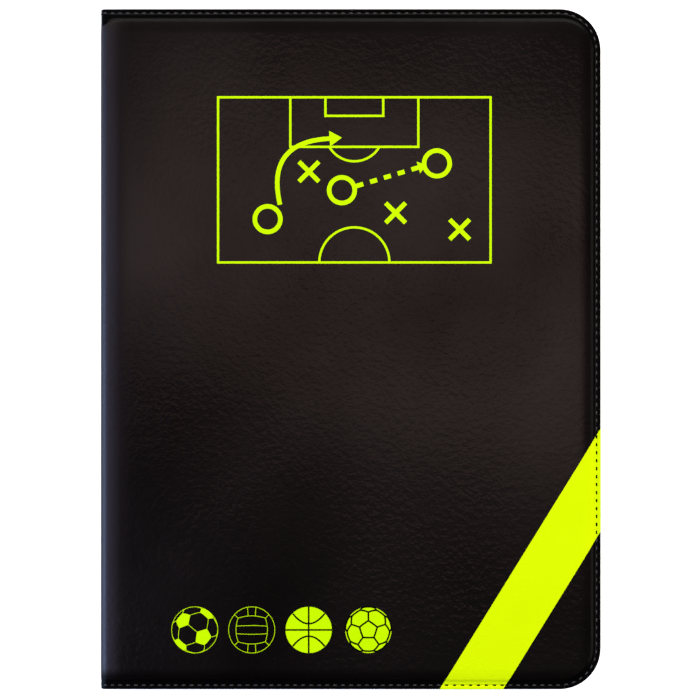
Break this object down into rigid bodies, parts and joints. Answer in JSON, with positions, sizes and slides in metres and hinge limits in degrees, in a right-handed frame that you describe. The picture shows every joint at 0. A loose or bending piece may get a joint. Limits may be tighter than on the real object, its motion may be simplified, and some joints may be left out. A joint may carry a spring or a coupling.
{
  "type": "tactics board",
  "caption": "Leather tactics folder that opens like a book on a soft spine to a magnetic pitch with sliding tokens, a writing pad in a pocket and a marker in an elastic loop.",
  "frame": {"origin": "under the middle of the closed folder, on the surface that it lies on", "axes": "+X from the spine to the fore-edge, +Y up the page, +Z out of the front cover"},
  "size_m": [0.243, 0.33, 0.0203],
  "materials": {
    "leather": "fine-grained, semi-matt",
    "band": "smooth, bright yellow-green",
    "board": "grey-brown bookbinding board",
    "steel": "thin sheet",
    "pitch": "dry-wipe film with a printed pitch",
    "lining": "woven",
    "pocket": "woven",
    "elastic": "ribbed elastic",
    "card": "grey card",
    "paper": "white sheets",
    "binding": "cloth tape",
    "marker_body": "white, moulded",
    "marker_trim": "black, moulded",
    "felt": "felt",
    "home_team": "red, moulded",
    "away_team": "blue, moulded",
    "ball": "white, moulded"
  },
  "bodies": {
    "back_cover": {"back_skin": "leather", "back_board": "board", "back_lining": "lining", "pad_pocket": "pocket", "pen_loop": "elastic"},
    "spine": {"spine_skin": "leather", "spine_board": "board", "spine_lining": "lining"},
    "front_cover": {"front_skin": "leather", "front_board": "board", "steel_sheet": "steel", "pitch_film": "pitch", "front_lining": "lining", "corner_band": "band"},
    "notepad": {"pad_card": "card", "pad_sheets": "paper", "pad_binding": "binding"},
    "marker": {"marker_barrel": "marker_body", "marker_plug": "marker_trim", "ink_reservoir": "felt", "marker_nib": "felt"},
    "cap": {"marker_cap": "marker_trim", "cap_eraser": "felt"},
    "home_token_01": {"home_token_01": "home_team"},
    "home_token_02": {"home_token_02": "home_team"},
    "home_token_03": {"home_token_03": "home_team"},
    "home_token_04": {"home_token_04": "home_team"},
    "home_token_05": {"home_token_05": "home_team"},
    "home_token_06": {"home_token_06": "home_team"},
    "home_token_07": {"home_token_07": "home_team"},
    "home_token_08": {"home_token_08": "home_team"},
    "home_token_09": {"home_token_09": "home_team"},
    "home_token_10": {"home_token_10": "home_team"},
    "home_token_11": {"home_token_11": "home_team"},
    "away_token_01": {"away_token_01": "away_team"},
    "away_token_02": {"away_token_02": "away_team"},
    "away_token_03": {"away_token_03": "away_team"},
    "away_token_04": {"away_token_04": "away_team"},
    "away_token_05": {"away_token_05": "away_team"},
    "away_token_06": {"away_token_06": "away_team"},
    "away_token_07": {"away_token_07": "away_team"},
    "away_token_08": {"away_token_08": "away_team"},
    "away_token_09": {"away_token_09": "away_team"},
    "away_token_10": {"away_token_10": "away_team"},
    "away_token_11": {"away_token_11": "away_team"},
    "ball_token": {"ball_token": "ball"}
  },
  "joints": [
    {"name": "spine_fold", "type": "hinge", "parent": "back_cover", "child": "spine", "pos_m": [-0.12025, 0, 0.00125], "axis": [0, -1, 0], "range_deg": [0, 90]},
    {"name": "cover_fold", "type": "hinge", "parent": "spine", "child": "front_cover", "pos_m": [-0.12025, 0, 0.01875], "axis": [0, -1, 0], "range_deg": [0, 90]},
    {"name": "pad_slide", "type": "slide", "parent": "back_cover", "child": "notepad", "axis": [0, 1, 0], "range_m": [0, 0.11]},
    {"name": "marker_slide", "type": "slide", "parent": "back_cover", "child": "marker", "axis": [0, 1, 0], "range_m": [0, 0.06]},
    {"name": "cap_pull", "type": "slide", "parent": "marker", "child": "cap", "axis": [0, 1, 0], "range_m": [0, 0.03]},
    {"name": "token_home_01", "type": "slide", "parent": "front_cover", "child": "home_token_01", "axis": [0, 1, 0], "range_m": [0, 0.11]},
    {"name": "token_home_02", "type": "slide", "parent": "front_cover", "child": "home_token_02", "axis": [0, 1, 0], "range_m": [0, 0.11]},
    {"name": "token_home_03", "type": "slide", "parent": "front_cover", "child": "home_token_03", "axis": [0, 1, 0], "range_m": [0, 0.11]},
    {"name": "token_home_04", "type": "slide", "parent": "front_cover", "child": "home_token_04", "axis": [0, 1, 0], "range_m": [0, 0.11]},
    {"name": "token_home_05", "type": "slide", "parent": "front_cover", "child": "home_token_05", "axis": [0, 1, 0], "range_m": [0, 0.11]},
    {"name": "token_home_06", "type": "slide", "parent": "front_cover", "child": "home_token_06", "axis": [0, 1, 0], "range_m": [0, 0.11]},
    {"name": "token_home_07", "type": "slide", "parent": "front_cover", "child": "home_token_07", "axis": [0, 1, 0], "range_m": [0, 0.11]},
    {"name": "token_home_08", "type": "slide", "parent": "front_cover", "child": "home_token_08", "axis": [0, 1, 0], "range_m": [0, 0.11]},
    {"name": "token_home_09", "type": "slide", "parent": "front_cover", "child": "home_token_09", "axis": [0, 1, 0], "range_m": [0, 0.11]},
    {"name": "token_home_10", "type": "slide", "parent": "front_cover", "child": "home_token_10", "axis": [0, 1, 0], "range_m": [0, 0.11]},
    {"name": "token_home_11", "type": "slide", "parent": "front_cover", "child": "home_token_11", "axis": [0, 1, 0], "range_m": [0, 0.11]},
    {"name": "token_away_01", "type": "slide", "parent": "front_cover", "child": "away_token_01", "axis": [0, -1, 0], "range_m": [0, 0.11]},
    {"name": "token_away_02", "type": "slide", "parent": "front_cover", "child": "away_token_02", "axis": [0, -1, 0], "range_m": [0, 0.11]},
    {"name": "token_away_03", "type": "slide", "parent": "front_cover", "child": "away_token_03", "axis": [0, -1, 0], "range_m": [0, 0.11]},
    {"name": "token_away_04", "type": "slide", "parent": "front_cover", "child": "away_token_04", "axis": [0, -1, 0], "range_m": [0, 0.11]},
    {"name": "token_away_05", "type": "slide", "parent": "front_cover", "child": "away_token_05", "axis": [0, -1, 0], "range_m": [0, 0.11]},
    {"name": "token_away_06", "type": "slide", "parent": "front_cover", "child": "away_token_06", "axis": [0, -1, 0], "range_m": [0, 0.11]},
    {"name": "token_away_07", "type": "slide", "parent": "front_cover", "child": "away_token_07", "axis": [0, -1, 0], "range_m": [0, 0.11]},
    {"name": "token_away_08", "type": "slide", "parent": "front_cover", "child": "away_token_08", "axis": [0, -1, 0], "range_m": [0, 0.11]},
    {"name": "token_away_09", "type": "slide", "parent": "front_cover", "child": "away_token_09", "axis": [0, -1, 0], "range_m": [0, 0.11]},
    {"name": "token_away_10", "type": "slide", "parent": "front_cover", "child": "away_token_10", "axis": [0, -1, 0], "range_m": [0, 0.11]},
    {"name": "token_away_11", "type": "slide", "parent": "front_cover", "child": "away_token_11", "axis": [0, -1, 0], "range_m": [0, 0.11]},
    {"name": "token_ball", "type": "slide", "parent": "front_cover", "child": "ball_token", "axis": [1, 0, 0], "range_m": [0, 0.18]}
  ]
}
